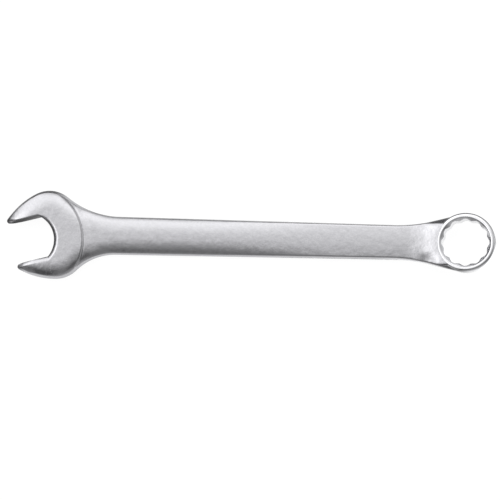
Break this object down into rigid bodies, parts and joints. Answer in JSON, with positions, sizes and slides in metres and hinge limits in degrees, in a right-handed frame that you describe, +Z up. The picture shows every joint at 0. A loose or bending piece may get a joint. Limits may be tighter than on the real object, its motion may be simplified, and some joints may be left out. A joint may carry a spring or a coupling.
{
  "type": "combination wrench",
  "caption": "Combination wrench with an angled open end, a flat handle and a raised twelve-point box end, in satin chrome.",
  "frame": {"origin": "centre of the wrench's bounding box, on the plane it lies on", "axes": "+X from the open end to the box end along the handle, +Z up out of the face that shows when it lies flat, +Y across the handle"},
  "size_m": [0.225, 0.0407, 0.0175],
  "materials": {
    "satin_chrome": "satin chrome over a fine blasted forging",
    "bright_chrome": "bright chrome on the ring"
  },
  "bodies": {
    "root": {"upper_jaw": "satin_chrome", "lower_jaw": "satin_chrome", "jaw_throat": "satin_chrome", "head_neck": "satin_chrome", "shank": "satin_chrome", "box_neck": "satin_chrome", "box_ring": "bright_chrome"}
  },
  "joints": []
}
